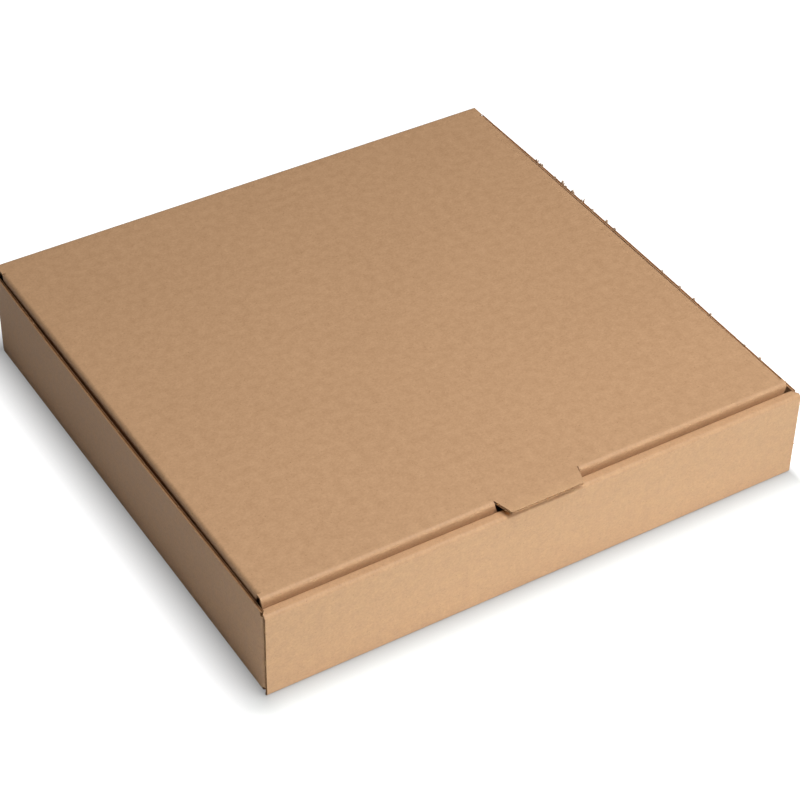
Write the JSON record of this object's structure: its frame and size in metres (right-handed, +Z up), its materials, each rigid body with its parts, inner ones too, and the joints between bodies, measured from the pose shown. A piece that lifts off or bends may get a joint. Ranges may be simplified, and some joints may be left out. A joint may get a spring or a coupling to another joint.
{
  "type": "pizza box",
  "caption": "Closed folding pizza box of plain brown corrugated board, with a rolled front wall that locks into the floor and a hinged lid with tuck flap and pull tab.",
  "frame": {"origin": "middle of the underside, on the surface the box rests on", "axes": "+X across the front, to the right seen from the front; +Y from the front wall to the rear wall with the hinge; +Z up"},
  "size_m": [0.32, 0.3123, 0.0588],
  "materials": {
    "board": "matt brown kraft liner, uncoated and unprinted"
  },
  "bodies": {
    "tray": {"tray": "board"},
    "lid": {"lid": "board"}
  },
  "joints": [
    {"name": "lid_hinge", "type": "hinge", "parent": "tray", "child": "lid", "pos_m": [-0.0012, 0.15446, 0.05826], "axis": [-1, 0, 0], "range_deg": [0, 180]}
  ]
}
